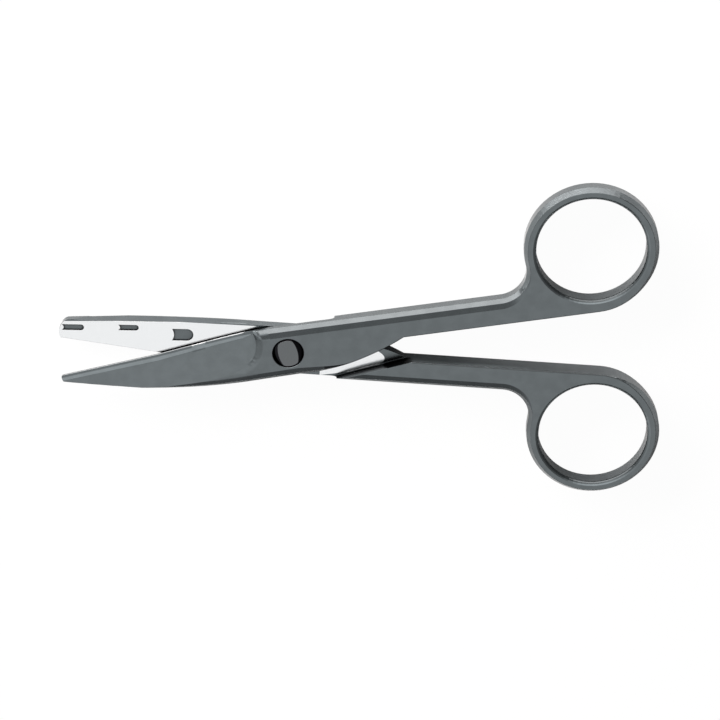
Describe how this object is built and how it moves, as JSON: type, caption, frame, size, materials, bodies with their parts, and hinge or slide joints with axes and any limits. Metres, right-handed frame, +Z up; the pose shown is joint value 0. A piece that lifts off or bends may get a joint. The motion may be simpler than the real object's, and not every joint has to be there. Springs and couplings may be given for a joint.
{
  "type": "surgical scissors",
  "caption": "Surgical scissors in dark coated steel, sharp/blunt points, half-lap screw joint and round finger rings, lying slightly open.",
  "frame": {"origin": "on the joint axis, in the plane that the scissors rest on", "axes": "+Z up along the joint axis, +X towards the finger rings along the line that halves the opening, -X towards the points"},
  "size_m": [0.1419, 0.0798, 0.0053],
  "materials": {
    "coated_steel": "satin dark grey coating, bright ground inner faces and cutting edge",
    "black_steel": "glossy black sides with a satin grey land across the head"
  },
  "bodies": {
    "rear": {"rear_half": "coated_steel", "pivot_screw": "black_steel"},
    "front": {"front_half": "coated_steel"}
  },
  "joints": [
    {"name": "pivot", "type": "hinge", "parent": "rear", "child": "front", "pos_m": [0, 0, 0.0026], "axis": [0, 0, 1], "range_deg": [-12.4, 105]}
  ]
}
